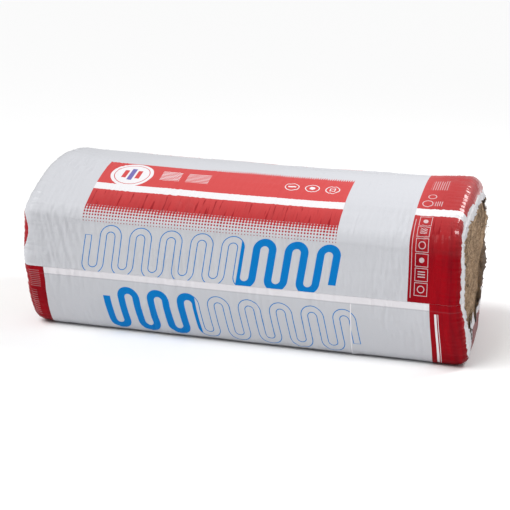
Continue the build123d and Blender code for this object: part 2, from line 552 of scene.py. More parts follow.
@dataclass
class FilmWeb:
    """One web of film, as a closed shell with a fine outer face and a plainer inner one."""

    name: str
    node: str
    slot: str
    form: PackForm
    relief: FilmRelief
    collars: tuple[Collar, Collar]
    row_stops: tuple[Pair, ...]  # where each stretch ends, and its rows' step
    stand_off: float = 0.0
    body_step: float = 4.4 * MM
    rim_columns: int = 12
    flat_columns: int = 9
    inner_every: int = 6
    thickness: float = 0.3 * MM
    inner_gap: float = 1.8 * MM
    curl: float = 2.5 * MM
    flare_turn: float = 0.35
    rim_reach: float = 0.075
    rim_near: float = 0.3  # how near the loose edge the rim's bend starts, and half of where it ends

    def rows(self) -> np.ndarray:
        """Girths of the shell's rows, from stop to stop at each stretch's own step."""
        parts = [np.array([self.row_stops[0][0]])]
        for (start, _), (stop, step) in zip(self.row_stops, self.row_stops[1:]):
            count = max(1, round(abs(stop - start) / step))
            parts.append(np.linspace(start, stop, count + 1)[1:])
        return np.concatenate(parts)

    def body_columns(self) -> np.ndarray:
        """Travels of the columns between the rims, with the torn fold's own among them."""
        half = self.form.half_length - self.form.rim_radius
        even = np.linspace(-half, half, 2 * round(half / self.body_step) + 1)
        tear = self.relief.tear_at + MM * np.arange(-2.0, 3.0)
        clear = np.abs(even - self.relief.tear_at) > 3 * MM
        return np.sort(np.concatenate([even[clear], tear]))

    def end_points(
        self, collar: Collar, girth: np.ndarray, outer: bool
    ) -> tuple[np.ndarray, np.ndarray]:
        """Lays the film round one rim and across the end.

        Args:
            collar: the end's gathered film.
            girth: the rows' girths.
            outer: whether it is the outer face.

        Returns:
            Points and travels, rows by columns from the rim on.
        """
        form, sign = self.form, collar.end.value
        girth = form.once_round(girth)
        section, normal = form.at(girth)
        radius = form.rim_radius
        reach = collar.reach(form, girth)[:, None]
        flare = collar.total(form, girth, "flare")[:, None]
        bend = np.linspace(0, pi / 2, self.rim_columns + 1)[None, 1:]
        across = np.linspace(0, 1, self.flat_columns + 1)[None, 1:]
        rows, rim_start = len(girth), form.half_length - radius

        def side_by_side(rim_part: np.ndarray, flat_part: np.ndarray) -> np.ndarray:
            """Values for the rim's columns and the flat ones, in every row."""
            parts = (np.repeat(p, rows, 0) if len(p) == 1 else p for p in (rim_part, flat_part))
            return np.concatenate(list(parts), 1)

        rim_in = radius * (1 - np.cos(bend))
        rim = section[:, None] - normal[:, None] * rim_in[..., None]
        flat_start = section - normal * radius
        way = collar.edge_direction(flat_start)
        flat_in = reach * (across - self.flare_turn * flare * across**2)
        flat = flat_start[:, None] + way[:, None] * flat_in[..., None]
        curl = Unevenness(collar.seed + 9).at(girth / 0.055, 0 * girth + 2.5)[:, None]
        curl = self.curl * (1 + curl) * across**2 * collar.looseness(girth)[:, None]
        flat_x = form.half_length + flare * reach * across + curl + self.relief.lift * across

        travel = side_by_side(rim_start + radius * bend, rim_start + radius * pi / 2 + reach * across)
        near = self.rim_near
        nearness = side_by_side(near + near * np.sin(bend), 2 * near + (1 - 2 * near) * across)
        tilt = side_by_side(np.cos(bend), 0 * across)
        off = self.stand_off + self.relief.gather(collar, girth[:, None], nearness)
        off = off + self.relief.along(sign * travel, girth[:, None], outer) * (1 - nearness)
        off = self.keep_base(off, girth[:, None])
        if not outer:
            off = off - self.thickness - self.inner_gap * (1 - nearness)
        points = np.empty(travel.shape + (3,))
        x = side_by_side(rim_start + radius * np.sin(bend), flat_x)
        points[..., 0] = sign * (x + off * np.sqrt(1 - tilt**2))
        points[..., 1:] = np.concatenate([rim, flat], 1) + (off * tilt)[..., None] * normal[:, None]
        points[..., 2] = np.maximum(points[..., 2], 0)
        return points, sign * travel

    def keep_base(self, off: np.ndarray, girth: np.ndarray) -> np.ndarray:
        """Presses the relief flat where the pack lies on it."""
        half_base = self.form.half_width - self.form.foot_inset
        from_middle = np.abs(girth + half_base)
        return off * smooth(from_middle, half_base - 0.01, half_base + 0.03)

    def body_points(self, girth: np.ndarray, travel: np.ndarray, outer: bool) -> np.ndarray:
        """Lays the film along the sides, between the rims."""
        section, normal = self.form.at(girth)
        s, u = self.form.once_round(girth)[:, None], travel[None]
        straight = self.form.half_length - self.form.rim_radius
        reach, signs = self.rim_reach, [collar.end.value for collar in self.collars]
        nearness = [self.rim_near * smooth(sign * u, straight - reach, straight) for sign in signs]
        plain = 1 - sum(nearness)
        off = self.stand_off + self.relief.along(u, s, outer) * plain
        for collar, near in zip(self.collars, nearness):
            off = off + self.relief.gather(collar, s, near)
        off = self.keep_base(off, s)
        if not outer:
            off = off - self.thickness - self.inner_gap * plain
        points = np.empty(off.shape + (3,))
        points[..., 0] = u
        points[..., 1:] = section[:, None] + normal[:, None] * off[..., None]
        points[..., 2] = np.maximum(points[..., 2], 0)
        return points

    def face(self, outer: bool) -> tuple[np.ndarray, np.ndarray, np.ndarray]:
        """One face of the web as a grid.

        Args:
            outer: whether it is the outer face.

        Returns:
            Points, travels, and which columns the inner face has.
        """
        girth, body = self.rows(), self.body_columns()
        left, right = (self.end_points(c, girth, outer) for c in self.collars)
        middle = self.body_points(girth, body, outer)
        points = np.concatenate([left[0][:, ::-1], middle, right[0]], 1)
        travel = np.concatenate([left[1][:, ::-1], np.repeat(body[None], len(girth), 0), right[1]], 1)
        ends = self.rim_columns + self.flat_columns
        number = np.arange(travel.shape[1])
        from_end = np.minimum(number, len(number) - 1 - number)
        kept = (from_end < ends + 3) | (number % self.inner_every == 0)
        return points, travel, kept

    def build(self, outside: bpy.types.Material, inside: bpy.types.Material) -> bpy.types.Object:
        """Makes the shell, with its print map.

        Args:
            outside: the printed finish.
            inside: the plain finish of the inner face.

        Returns:
            The web.
        """
        outer, travel, kept = self.face(True)
        inner = self.face(False)[0][:, kept]
        girth = self.rows()
        outer_number = np.arange(travel.size).reshape(travel.shape)
        inner_number = travel.size + np.arange(inner[..., 0].size).reshape(inner.shape[:2])
        points = self.form.settle(np.concatenate([outer.reshape(-1, 3), inner.reshape(-1, 3)]))
        points[:, 2] = np.maximum(points[:, 2], 0)

        faces = grid_faces(outer_number[:, ::-1])
        outer_count = len(faces)
        faces += grid_faces(inner_number)
        for column, flip in ((0, False), (-1, True)):
            rim = np.stack([outer_number[:, column], inner_number[:, column]])
            faces += grid_faces(rim[:, ::-1] if flip else rim)
        stops = np.flatnonzero(kept)
        for row, flip in ((0, False), (-1, True)):
            for i, (start, stop) in enumerate(zip(stops, stops[1:])):
                ring = list(outer_number[row, start : stop + 1])
                ring += [inner_number[row, i + 1], inner_number[row, i]]
                faces.append([int(n) for n in (ring[::-1] if flip else ring)])

        piece = solid_from(self.name, points, faces, [outside, inside])
        mesh = piece.data
        plain = np.ones(len(mesh.polygons), np.int32)
        plain[:outer_count] = 0
        mesh.polygons.foreach_set("material_index", plain)

        columns = travel, travel[:, kept]
        places = [np.stack([c.ravel(), np.repeat(girth, c.shape[1])], 1) for c in columns]
        corner = np.empty(len(mesh.loops), np.int32)
        mesh.loops.foreach_get("vertex_index", corner)
        print_map = mesh.uv_layers.new(name=PRINT_MAP)
        print_map.uv.foreach_set("vector", np.concatenate(places)[corner].astype(np.float32).ravel())
        return piece

    def dress(
        self, outside: bpy.types.Material, inside: bpy.types.Material, rests_on: list[str]
    ) -> None:
        """Args:
            outside: the printed finish.
            inside: the plain finish of the inner face.
            rests_on: the pieces that it lies on; not used.
        """
        piece = self.build(outside, inside)
        girth = self.rows()
        hand_over(piece, self.slot, self.node)
        bend = self.form.rim_radius * (pi / 2 - 1)
        reach = [c.reach(self.form, girth).mean() + bend for c in self.collars]
        length = 2 * self.form.half_length + sum(reach)


class Ink:
    """A value in a finish's node tree, with arithmetic that adds Math nodes."""

    def __init__(self, tree: bpy.types.NodeTree, socket: bpy.types.NodeSocket) -> None:
        """Wraps a node's output socket."""
        self.tree, self.socket = tree, socket

    def math(self, operation: str, *others: "Ink | float", clamp: bool = False) -> "Ink":
        """Adds one Math node.

        Args:
            operation: the node's operation.
            others: its further inputs, as values of the tree or plain numbers.
            clamp: whether the result is kept from 0 to 1.

        Returns:
            The node's result.
        """
        node = self.tree.nodes.new("ShaderNodeMath")
        node.operation = operation
        node.use_clamp = clamp
        for slot, value in zip(node.inputs, (self, *others)):
            if isinstance(value, Ink):
                self.tree.links.new(value.socket, slot)
            else:
                slot.default_value = value
        return Ink(self.tree, node.outputs[0])

    def __add__(self, other: "Ink | float") -> "Ink":
        """Adds."""
        return self.math("ADD", other)

    def __sub__(self, other: "Ink | float") -> "Ink":
        """Takes away."""
        return self.math("SUBTRACT", other)

    def __mul__(self, other: "Ink | float") -> "Ink":
        """Multiplies, which of two masks leaves what is in both."""
        return self.math("MULTIPLY", other)

    def __truediv__(self, other: "Ink | float") -> "Ink":
        """Divides."""
        return self.math("DIVIDE", other)

    def __or__(self, other: "Ink | float") -> "Ink":
        """The larger of the two, which of two masks leaves what is in either."""
        return self.math("MAXIMUM", other)

    def __neg__(self) -> "Ink":
        """Turns the sign round."""
        return self.math("MULTIPLY", -1.0)

    def away(self) -> "Ink":
        """The value without its sign."""
        return self.math("ABSOLUTE")

    def rest(self) -> "Ink":
        """What a mask leaves out."""
        return self.math("MULTIPLY_ADD", -1.0, 1.0, clamp=True)

    def eased(self) -> "Ink":
        """A ramp from 0 to 1 with a soft start and stop."""
        return self * self * (self * -2.0 + 3.0)

    def above(self, edge: "Ink | float", soft: float = 0.6 * MM) -> "Ink":
        """A mask of where the value is over an edge."""
        return ((self - edge) / soft).math("ADD", 0.5, clamp=True)

    def below(self, edge: "Ink | float", soft: float = 0.6 * MM) -> "Ink":
        """A mask of where the value is under an edge."""
        return ((self - edge) / -soft).math("ADD", 0.5, clamp=True)

    def between(self, low: float, high: float, soft: float = 0.6 * MM) -> "Ink":
        """A mask of where the value is from low to high."""
        return (self - (low + high) / 2).away().below((high - low) / 2, soft)

    def steep(self, slope: float) -> "Ink":
        """The value times a slope, kept from 0 to 1."""
        return self.math("MULTIPLY", slope, clamp=True)

    def far(self, other: "Ink | float") -> "Ink":
        """The length of the straight line with these two sides."""
        return self.math("MULTIPLY_ADD", self, other * other).math("SQRT")


class FinishTree:
    """A material with its shader and the few nodes that every finish starts from."""

    def __init__(self, name: str) -> None:
        """Makes the material, with a cleared tree."""
        self.material = bpy.data.materials.new(name)
        self.material.use_nodes = True
        self.tree = self.material.node_tree
        self.tree.nodes.clear()
        self.shader = self.tree.nodes.new("ShaderNodeBsdfPrincipled")
        output = self.tree.nodes.new("ShaderNodeOutputMaterial")
        self.tree.links.new(self.shader.outputs[0], output.inputs["Surface"])

    def set(self, **values: float) -> None:
        """Sets the shader's own sockets, named in lower case with underscores."""
        for name, value in values.items():
            socket = name.replace("_", " ").title().replace("Ior", "IOR")
            self.shader.inputs[socket].default_value = value

    def link(self, value: "Ink | bpy.types.NodeSocket", socket: bpy.types.NodeSocket) -> None:
        """Links a value to a socket."""
        self.tree.links.new(value.socket if isinstance(value, Ink) else value, socket)

    def film_place(self) -> tuple[Ink, Ink]:
        """Travel and girth from the piece's print map."""
        source = self.tree.nodes.new("ShaderNodeUVMap")
        source.uv_map = PRINT_MAP
        split = self.tree.nodes.new("ShaderNodeSeparateXYZ")
        self.link(source.outputs[0], split.inputs[0])
        return Ink(self.tree, split.outputs[0]), Ink(self.tree, split.outputs[1])

    def object_place(self) -> bpy.types.NodeSocket:
        """Object coordinates."""
        return self.tree.nodes.new("ShaderNodeTexCoord").outputs["Object"]

    def turned(self, place: bpy.types.NodeSocket, angle: float) -> bpy.types.NodeSocket:
        """Coordinates turned about the pack's long axis."""
        turn = self.tree.nodes.new("ShaderNodeMapping")
        turn.inputs["Rotation"].default_value = (angle, 0.0, 0.0)
        self.link(place, turn.inputs["Vector"])
        return turn.outputs[0]

    def noise(
        self,
        place: bpy.types.NodeSocket,
        scale: Triple,
        detail: float,
        rough: float = 0.5,
        twist: float = 0.0,
    ) -> Ink:
        """Chance clouds, with so many cells for each metre along the three axes."""
        stretch = self.tree.nodes.new("ShaderNodeMapping")
        stretch.inputs["Scale"].default_value = scale
        self.link(place, stretch.inputs["Vector"])
        node = self.tree.nodes.new("ShaderNodeTexNoise")
        node.inputs["Scale"].default_value = 1.0
        node.inputs["Detail"].default_value = detail
        node.inputs["Roughness"].default_value = rough
        node.inputs["Distortion"].default_value = twist
        self.link(stretch.outputs[0], node.inputs["Vector"])
        return Ink(self.tree, node.outputs["Fac"])

    def flat_place(self, x: Ink, y: Ink) -> bpy.types.NodeSocket:
        """Two numbers as a vector."""
        node = self.tree.nodes.new("ShaderNodeCombineXYZ")
        self.link(x, node.inputs[0])
        self.link(y, node.inputs[1])
        return node.outputs[0]

    def mix(
        self, mask: Ink, under: "Colour | bpy.types.NodeSocket", over: "Colour | bpy.types.NodeSocket"
    ) -> bpy.types.NodeSocket:
        """One colour over another through a mask.

        Args:
            mask: where the upper colour shows.
            under: the lower colour.
            over: the upper colour.

        Returns:
            The mixed colour.
        """
        node = self.tree.nodes.new("ShaderNodeMix")
        node.data_type = "RGBA"
        self.link(mask, node.inputs["Factor"])
        for value, socket in ((under, node.inputs[6]), (over, node.inputs[7])):
            if isinstance(value, tuple):
                socket.default_value = (*value, 1.0)
            else:
                self.link(value, socket)
        return node.outputs[2]

    def bump(self, height: Ink, distance: float) -> None:
        """Gives the shader fine relief of so many metres."""
        node = self.tree.nodes.new("ShaderNodeBump")
        node.inputs["Distance"].default_value = distance
        self.link(height, node.inputs["Height"])
        self.link(node.outputs[0], self.shader.inputs["Normal"])


@dataclass(frozen=True)
class Inks:
    """The film's own colours and those printed on it, with colours of painted light and shade: a paler
    painted reflection of the red, a deeper painted shade of the red, painted shade for the foot, and a
    painted shadow line.
    """

    single_film: Colour = (0.58, 0.588, 0.62)
    # painted shade: the film's colour on the base and foot, darker where the pack meets the floor
    foot_shade_film: Colour = (0.33, 0.33, 0.36)
    double_film: Colour = (0.78, 0.76, 0.79)
    red: Colour = (0.34, 0.0, 0.006)
    # painted shade: a deeper red for the shaded stripes, the pleats and the crown's right end
    shaded_red: Colour = (0.20, 0.0, 0.006)
    # painted reflection: a paler red where the glossy shoulders and crown reflect the light from above
    crown_reflection_red: Colour = (0.59, 0.078, 0.078)
    # painted shade: a near-black red for the foot
    foot_shade_red: Colour = (0.06, 0.0, 0.003)
    blue: Colour = (0.0, 0.19, 0.55)
    white: Colour = (0.78, 0.77, 0.79)
    # painted shadow: the colour of a thin shadow line under the upper web's lower edge
    lap_shadow_grey: Colour = (0.36, 0.36, 0.40)


@dataclass(frozen=True)
class WaveOrnament:
    """A row of tall even bends, the builder's drawing sign for insulation, part solid."""

    left: float
    right: float
    low: float
    high: float
    solid_from: float
    solid_to: float
    bends: int = 16
    half_stroke: float = 0.0105
    line: float = 2.4 * MM
    slant: float = 0.14

    def mask(self, travel: Ink, girth: Ink) -> Ink:
        """Where the ornament's ink lies.

        Args:
            travel: the place along the film.
            girth: the place round it.

        Returns:
            The mask.
        """
        span = self.right - self.left
        cell = span / self.bends
        up = girth - (self.low + self.high) / 2
        along = travel - self.left - up * self.slant
        cells = along / cell
        number = cells.math("FLOOR")
        within = (cells - number - 0.5).away() * cell
        turned = number.math("PINGPONG", 1.0) * 2.0 - 1.0
        level = up * turned
        straight = (self.high - self.low) / 2 - self.half_stroke - cell / 2
        near = within.far((level - straight) | 0.0)
        beyond = (-(within - cell)).far((-level - straight) | 0.0)
        is_near = level.above(0.0, 0.01 * MM)
        distance = ((near - beyond) * is_near + beyond - cell / 2).away()
        stroke = distance.below(self.half_stroke)
        outline = (distance - (self.half_stroke - self.line / 2)).away().below(self.line / 2)
        first, last = along.below(self.half_stroke), along.above(span - self.half_stroke)
        caps = first * (up - straight).away().below(self.line / 2)
        caps |= last * (up + straight).away().below(self.line / 2)
        kept = (first.rest() | up.below(straight)) * (last.rest() | up.above(-straight))
        kept = kept * along.between(-self.half_stroke, span + self.half_stroke)
        solid = along.between(self.solid_from - self.left, self.solid_to - self.left)
        return (stroke * (solid | caps) | outline) * kept


class PrintedFilm:
    """Milky film with generic print: a red panel, end bands, plain signs and a wave ornament.

    Each kind of film folds girth_of, so that both halves of the web are printed alike.
    """

    ink_left = -0.668
    ink_right = 0.628
    ink_edge = 1.2 * MM

    def __init__(self, name: str, form: PackForm, inks: Inks) -> None:
        """Starts the finish.

        Args:
            name: the material's name.
            form: the pack's form, for the girths of its laps.
            inks: the colours.
        """
        self.form, self.inks = form, inks
        self.made = FinishTree(name)
        self.travel, self.girth = self.made.film_place()
        self.girth_of = self.girth
        self.place = self.made.flat_place(self.travel, self.girth)

    def disc(self, travel: float, girth: float, radius: float) -> Ink:
        """A round spot."""
        return (self.travel - travel).far(self.girth_of - girth).below(radius)

    def ring(self, travel: float, girth: float, radius: float, line: float) -> Ink:
        """A round line."""
        away = (self.travel - travel).far(self.girth_of - girth) - radius
        return away.away().below(line / 2)

    def block(self, left: float, right: float, low: float, high: float) -> Ink:
        """A plain rectangle."""
        return self.travel.between(left, right) * self.girth_of.between(low, high)

    @staticmethod
    def sides(middle: Pair, half: Pair) -> tuple[float, float, float, float]:
        """The sides of a rectangle, from its middle and its half lengths."""
        (travel, girth), (along, up) = middle, half
        return travel - along, travel + along, girth - up, girth + up

    def frame_of(self, left: float, right: float, low: float, high: float, line: float) -> Ink:
        """The outline of a rectangle."""
        inside = self.block(left + line, right - line, low + line, high - line)
        return self.block(left, right, low, high) * inside.rest()

    def rules(
        self, left: float, right: float, low: float, high: float, pitch: float, along: bool
    ) -> Ink:
        """Thin plain lines that fill a rectangle, along the pack or up it."""
        axis = self.girth_of if along else self.travel
        wave = (axis / pitch).math("FRACT")
        return wave.between(0.3, 0.7, 0.1) * self.block(left, right, low, high)

    def dots(self, low: float, high: float, pitch: float, full_at_high: bool) -> Ink:
        """A square screen of dots that grow towards one of its edges.

        Args:
            low: the screen's lower edge.
            high: its upper edge.
            pitch: from dot to dot.
            full_at_high: whether the dots are large at the upper edge.

        Returns:
            Where the dots are.
        """
        x = (self.travel / pitch).math("FRACT") - 0.5
        y = (self.girth_of / pitch).math("FRACT") - 0.5
        share = (self.girth_of - low) / (high - low)
        if not full_at_high:
            share = -(share - 1.0)
        soft = 0.05
        teeth = x.away().below((share - 0.66) * 1.3, soft)
        dots = x.far(y).below(share * 0.42 + 0.12, soft)
        return (teeth | dots) * self.girth_of.between(low, high)

    def printed(self) -> Ink:
        """Where the film isn't left bare beside the eyes, with a ragged edge."""
        wander = (self.made.noise(self.place, (4, 22, 1), 2.0) - 0.5) * (34 * MM)
        nicks = (self.made.noise(self.place, (12, 120, 1), 2.0) - 0.5) * (9 * MM)
        ragged = self.travel + wander + nicks
        drawn_in = self.girth_of.above(0.62, 0.16) * (20 * MM)
        drawn_in += self.girth.between(-0.57, -0.03, 0.06) * (60 * MM)
        printed = (ragged - drawn_in).below(self.ink_right, self.ink_edge)
        return printed * ragged.above(self.ink_left, self.ink_edge)

    def film(self, double: Ink, printed: Ink) -> bpy.types.NodeSocket:
        """The milky film's own colour, paler where it is double or bare, with painted shade that makes
        it darker at its foot.
        """
        mix, inks = self.made.mix, self.inks
        film = mix(double, inks.single_film, inks.double_film)
        # painted shade: darker film on the base and round the foot
        film = mix(self.girth_of.below(0.020, 0.07) * 0.55, film, inks.foot_shade_film)
        return mix(printed.rest() * 0.6, film, inks.double_film)

    def red_ink(self) -> bpy.types.NodeSocket:
        """The red ink, with painted sheen and shade in vertical stripes on the sides, a paler painted
        reflection on the shoulders and crown that painted shade dims towards the right end, painted
        shade in the pleats along the panel's lower edge, and painted shade at the foot.
        """
        made, inks = self.made, self.inks
        # painted sheen and shade: vertical stripes where the pleats catch the light and fall into shade
        sheen_streaks = (made.noise(self.place, (60, 5, 1), 3.0) - 0.40).steep(4.0)
        red = made.mix(sheen_streaks * 0.75, inks.red, inks.shaded_red)
        # painted reflection on the shoulders and crown, dimmed by painted shade towards the right end
        crown = made.mix(self.travel.above(0.48, 0.12) * 0.4, inks.crown_reflection_red, inks.shaded_red)
        red = made.mix(self.girth_of.above(0.41, 0.16), red, crown)
        # painted shade: the red turns darker at the foot
        red = made.mix(self.girth_of.below(0.035, 0.08) * 0.6, red, inks.foot_shade_red)
        # painted shade: short darker dashes in the pleats along the panel's lower edge
        pleat_shade = (made.noise(self.place, (120, 9, 1), 2.0) - 0.58).steep(14.0)
        pleat_shade *= self.girth_of.between(0.400, 0.462, 8 * MM)
        return made.mix(pleat_shade * 0.6, red, inks.shaded_red)

    def finish(
        self, white: Ink, blue: Ink, red: Ink, double: Ink, lap_shadow_grey: Ink | None
    ) -> bpy.types.Material:
        """Lays the inks on the film and adds its gloss and fine creases.

        Args:
            white: where white shows on the red.
            blue: where blue ink lies.
            red: where red ink lies.
            double: where two films lie on each other.
            lap_shadow_grey: where a painted shadow line lies on the film, if anywhere.

        Returns:
            The material.
        """
        made, inks, place = self.made, self.inks, self.place
        printed = self.printed()
        colour = made.mix(red * printed, self.film(double, printed), self.red_ink())
        colour = made.mix(blue, colour, inks.blue)
        colour = made.mix(white * red * printed, colour, inks.white)
        # painted shadow line, where there is one
        if lap_shadow_grey:
            colour = made.mix(lap_shadow_grey, colour, inks.lap_shadow_grey)
        made.link(colour, made.shader.inputs["Base Color"])

        up_the_girth = made.noise(place, (110, 8, 1), 4.0, 0.55)
        along = made.noise(place, (14, 120, 1), 3.0)
        fine = made.noise(place, (420, 380, 1), 3.0)
        near_rim = self.travel.away().above(self.form.half_length - 0.03, 0.05)
        made.bump(up_the_girth * 0.7 + fine * 0.12 + along * (near_rim * 1.5 + 0.14), 1.5 * MM)
        gloss = made.noise(place, (9, 9, 1), 3.0) * 0.14 + 0.23
        made.link(gloss, made.shader.inputs["Roughness"])
        stretched = near_rim * self.girth_of.above(0.40, 0.12)
        made.link(stretched * 0.8, made.shader.inputs["Coat Weight"])
        made.set(specular_ior_level=0.07, ior=1.5, coat_roughness=0.10)
        return made.material


class UpperPrint(PrintedFilm):
    """The upper web's print, the same on both sides of the crown."""

    panel = (-0.436, 0.280)
    panel_rise = (0.405, 0.618)
    stripe_rise = (0.469, 0.497)
    end_bands = (-0.642, 0.477)
    fade_foot = 0.351
    top_fade_head = 0.634
    disc_at = (-0.349, 0.553)
    disc_radius = 0.062
    disc_ring = (0.051, 2.4 * MM)
    side_bars = ((-0.376, -0.362, 0.532, 0.574), (-0.336, -0.322, 0.532, 0.574))
    middle_bar = (-0.356, -0.342, 0.522, 0.584)
    lens_at, lens_half, lens_soft, lens_depth = 0.312, 0.052, 0.10, 40 * MM
    faint_from, faint_share = 0.480, 0.62
    rings = (  # travel, girth, radius, line
        (0.118, 0.558, 0.019, 2.6 * MM),
        (0.175, 0.558, 0.019, 2.6 * MM),
        (0.232, 0.558, 0.019, 2.6 * MM),
        (0.503, 0.522, 0.014, 2.5 * MM),
        (0.510, 0.558, 0.011, 2.2 * MM),
    )
    ruled = (  # left, right, low, high, pitch, along the pack, strength
        (-0.262, -0.205, 0.536, 0.584, 7.5 * MM, True, 1.0),
        (-0.186, -0.120, 0.536, 0.584, 7.5 * MM, True, 0.8),
        (0.520, 0.545, 0.512, 0.534, 6.0 * MM, False, 0.8),
        (0.498, 0.548, 0.598, 0.664, 6.5 * MM, False, 0.6),
    )
    column = (0.494, 0.530)
    column_foot = 0.232
    column_pitch = 39.5 * MM
    column_line = (0.4835, 0.4852, 0.225, 0.452)
    dash_half = (11 * MM, 3.5 * MM)
    spot_radius = 8 * MM
    square_half, square_line = (8 * MM, 8 * MM), 2.5 * MM

    def __init__(self, form: PackForm, inks: Inks) -> None:
        """Starts the finish, with the girth folded at the crown."""
        super().__init__("upper_web_film", form, inks)
        self.girth_of = -((self.girth - form.apex).away() - form.apex)

    def framed_signs(self) -> Ink:
        """The column of framed plain signs up the end band: a ring, rules, a spot, and again."""
        left, right = self.column
        side, inset = right - left, 8 * MM
        signs = self.block(*self.column_line)
        for number in range(6):
            low = self.column_foot + number * self.column_pitch
            signs |= self.frame_of(left, right, low, low + side, 1.6 * MM)
            middle, level = left + side / 2, low + side / 2
            if number % 3 == 0:
                signs |= self.ring(middle, level, 9 * MM, 2.2 * MM)
            elif number % 3 == 1:
                field = left + inset, right - inset, low + inset, low + side - inset
                signs |= self.rules(*field, 7 * MM, True)
            else:
                signs |= self.disc(middle, level, 7 * MM)
        return signs

    def signs(self) -> Ink:
        """All the plain white signs on the red panel and the end bands."""
        stripe = self.block(-1, 1, *self.stripe_rise)
        white = stripe | self.disc(*self.disc_at, self.disc_radius) | self.framed_signs()
        for ring in self.rings:
            white |= self.ring(*ring)
        for *field, strength in self.ruled:
            white |= self.rules(*field) * strength
        dashed, spotted, squared = (ring[:2] for ring in self.rings[:3])
        white |= self.block(*self.sides(dashed, self.dash_half))
        white |= self.disc(*spotted, self.spot_radius)
        white |= self.frame_of(*self.sides(squared, self.square_half), self.square_line)
        faint = self.travel.above(self.faint_from) * stripe.rest()
        return white * (faint.rest() | self.faint_share)

    def material(self) -> bpy.types.Material:
        """Prints the web."""
        left, right = self.panel
        low, high = self.panel_rise
        panel = self.block(left, right, low, high)
        fade = self.dots(self.fade_foot, low, 8.6 * MM, True) * self.travel.between(left, right)
        top_fade = self.dots(high, self.top_fade_head, 6.4 * MM, False)
        top_fade *= self.travel.between(-0.2, right) * self.travel.above(-0.09, 0.14)
        from_lens = (self.girth_of - self.lens_at).away()
        drawn_in = from_lens.below(self.lens_half, self.lens_soft).eased() * self.lens_depth
        band_left, band_right = self.end_bands
        band = self.travel.above(band_right) | (self.travel - drawn_in).below(band_left)
        wave = WaveOrnament(-0.424, 0.278, 0.206, 0.350, 0.015, 0.40)
        first, second = (self.block(*bar) for bar in self.side_bars)
        bars = first | second | self.ring(*self.disc_at, *self.disc_ring)
        middle_bar = self.block(*self.middle_bar)
        white = self.signs() * (bars | middle_bar).rest()
        blue = wave.mask(self.travel, self.girth_of) | middle_bar * 0.7
        double = self.girth_of.below(self.form.girth_at(self.form.lap_high))
        return self.finish(white, blue, panel | fade | top_fade | band, double, None)


class LowerPrint(PrintedFilm):
    """The lower web's print, the same on the front and the back."""

    end_bands = (-0.557, 0.537)
    rises = ((0.5500, 0.5560), (0.5590, 0.5605))
    rise_span = (0.028, 0.186)
    ruled = (  # left, right, low, high, pitch, along the pack
        (-0.606, -0.572, 0.150, 0.205, 6 * MM, True),
        (-0.606, -0.586, 0.050, 0.140, 8 * MM, True),
    )

    def __init__(self, form: PackForm, inks: Inks) -> None:
        """Starts the finish, with the girth folded at the middle of the base."""
        super().__init__("lower_web_film", form, inks)
        half_base = form.half_width - form.foot_inset
        self.girth_of = (self.girth + half_base).away() - half_base

    def material(self) -> bpy.types.Material:
        """Prints the web, and paints a shadow line under the upper web's lower edge."""
        band_left, band_right = self.end_bands
        red = self.travel.above(band_right) | self.travel.below(band_left)
        wave = WaveOrnament(-0.366, 0.336, 0.036, 0.176, -0.50, -0.103, slant=-0.14)
        lap_low = self.form.girth_at(self.form.lap_low)
        # painted shadow: a thin line under the upper web's lower edge, strong on the bare film and
        # faint on the red
        ridge = (self.girth_of - lap_low).away().below(1.7 * MM)
        tear = (self.travel - TEAR_AT).away().below(1.6 * MM) * self.girth.above(0.0)
        first, second = (self.block(*rise, *self.rise_span) for rise in self.rises)
        white = first | second
        for field in self.ruled:
            white |= self.rules(*field) * 0.16
        blue = wave.mask(self.travel, self.girth_of) * tear.rest()
        double = self.girth_of.above(lap_low) | tear
        return self.finish(white, blue, red, double, ridge * (red * -0.40 + 0.45))


@dataclass(frozen=True)
class BareFilm:
    """The unprinted inner face of the film."""

    colour: Colour = (0.80, 0.80, 0.83)

    def material(self) -> bpy.types.Material:
        """Makes the finish."""
        made = FinishTree("bare_film")
        place = made.object_place()
        clouds = made.noise(place, (40, 40, 40), 4.0)
        dusty = tuple(0.78 * c for c in self.colour)
        made.link(made.mix(clouds * 0.6, self.colour, dusty), made.shader.inputs["Base Color"])
        made.bump(made.noise(place, (220, 120, 120), 4.0), 0.8 * MM)
        made.set(roughness=0.36, coat_weight=0.2, coat_roughness=0.2)
        return made.material


@dataclass(frozen=True)
class WoolFinish:
    """Brown wool, in thin lying layers, with paler tufts, near-black flecks, and painted shade in the
    fissures between the tufts.
    """

    name: str = "mineral_wool"
    pale: Colour = (0.62, 0.435, 0.28)
    middle: Colour = (0.155, 0.096, 0.052)
    # near-black: painted shade in the fissures between tufts, and the wool's own flecks
    fissure_shade_and_flecks: Colour = (0.030, 0.017, 0.009)
    flow: float = -0.62

    def material(self) -> bpy.types.Material:
        """Makes the finish."""
        made = FinishTree(self.name)
        place = made.turned(made.object_place(), self.flow)
        lamellae = made.noise(place, (24, 22, 260), 5.0, 0.62, twist=0.3)
        strands = made.noise(place, (160, 110, 900), 5.0, 0.7, twist=1.2)
        tufts = made.noise(place, (20, 15, 46), 5.0, 0.68, twist=0.7)
        specks = made.noise(place, (420, 300, 420), 2.0)
        light = (lamellae * 0.6 + strands * 0.6 - 0.49).steep(6.5)
        colour = made.mix(light, self.middle, self.pale)
        # painted shade: near-black patches in the fissures between the tufts
        colour = made.mix((-(tufts - 0.505)).steep(7.0) * 0.78, colour, self.fissure_shade_and_flecks)
        colour = made.mix((-(specks - 0.33)).steep(9.0) * 0.8, colour, self.fissure_shade_and_flecks)
        made.link(colour, made.shader.inputs["Base Color"])
        made.bump(lamellae * 0.5 + strands * 0.5 + tufts * 0.4, 4.0 * MM)
        made.set(roughness=0.95, specular_ior_level=0.08, sheen_weight=0.08, sheen_roughness=0.6)
        return made.material


@dataclass(frozen=True)
class FrayedFace:
    """The points of a slab's end face, and how open to the air each of them is."""

    end: End
    points: np.ndarray
    open_to_air: np.ndarray


